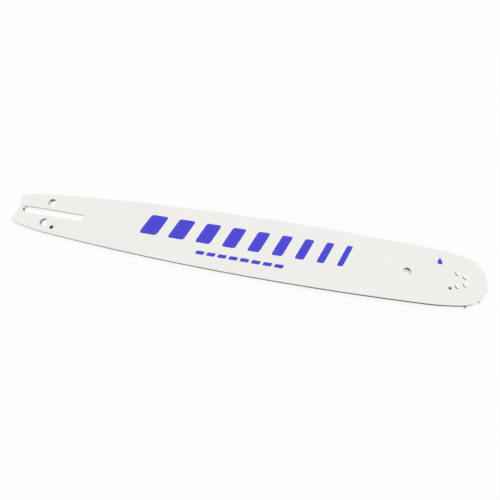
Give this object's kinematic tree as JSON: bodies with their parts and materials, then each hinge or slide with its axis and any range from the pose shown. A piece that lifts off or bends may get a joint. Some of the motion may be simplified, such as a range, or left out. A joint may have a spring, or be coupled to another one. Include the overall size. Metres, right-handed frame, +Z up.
{
  "type": "chainsaw guide bar",
  "caption": "Long white-painted laminated guide bar with a bowed outline, chain groove round its edge, clamp slot at the tail and a toothed sprocket turning in its round nose.",
  "frame": {"origin": "middle of the clamp slot on the lower face, which seats on the saw's bar pad", "axes": "+X along the bar from the tail to the nose, +Y across the bar towards one rail, +Z up through the thickness"},
  "size_m": [0.5102, 0.0662, 0.0049],
  "materials": {
    "white_paint": "semi-gloss white paint",
    "core_steel": "bare rolled steel",
    "sprocket_steel": "hardened steel",
    "bearing_steel": "ground bearing steel",
    "rivet_steel": "set rivet steel"
  },
  "bodies": {
    "bar": {"upper_side_plate": "white_paint", "lower_side_plate": "white_paint", "core_plate": "core_steel", "bearing_hub": "bearing_steel", "nose_rivets": "rivet_steel"},
    "sprocket": {"nose_sprocket": "sprocket_steel"},
    "roller_ring": {"roller_01": "bearing_steel", "roller_02": "bearing_steel", "roller_03": "bearing_steel", "roller_04": "bearing_steel", "roller_05": "bearing_steel", "roller_06": "bearing_steel", "roller_07": "bearing_steel", "roller_08": "bearing_steel", "roller_09": "bearing_steel", "roller_10": "bearing_steel", "roller_11": "bearing_steel", "roller_12": "bearing_steel", "roller_13": "bearing_steel", "roller_14": "bearing_steel", "roller_15": "bearing_steel", "roller_16": "bearing_steel", "roller_17": "bearing_steel", "roller_18": "bearing_steel", "roller_19": "bearing_steel", "roller_20": "bearing_steel", "roller_21": "bearing_steel", "roller_22": "bearing_steel", "roller_23": "bearing_steel", "roller_24": "bearing_steel", "roller_25": "bearing_steel", "roller_26": "bearing_steel", "roller_27": "bearing_steel"}
  },
  "joints": [
    {"name": "sprocket_spin", "type": "hinge", "parent": "bar", "child": "sprocket", "pos_m": [0.4361, 0, 0.00215], "axis": [0, 0, 1], "continuous": true},
    {"name": "roller_orbit", "type": "hinge", "parent": "bar", "child": "roller_ring", "pos_m": [0.4361, 0, 0.00215], "axis": [0, 0, 1], "continuous": true}
  ],
  "couplings": [
    {"joint": "roller_orbit", "follows": "sprocket_spin", "ratio": 0.5573}
  ]
}
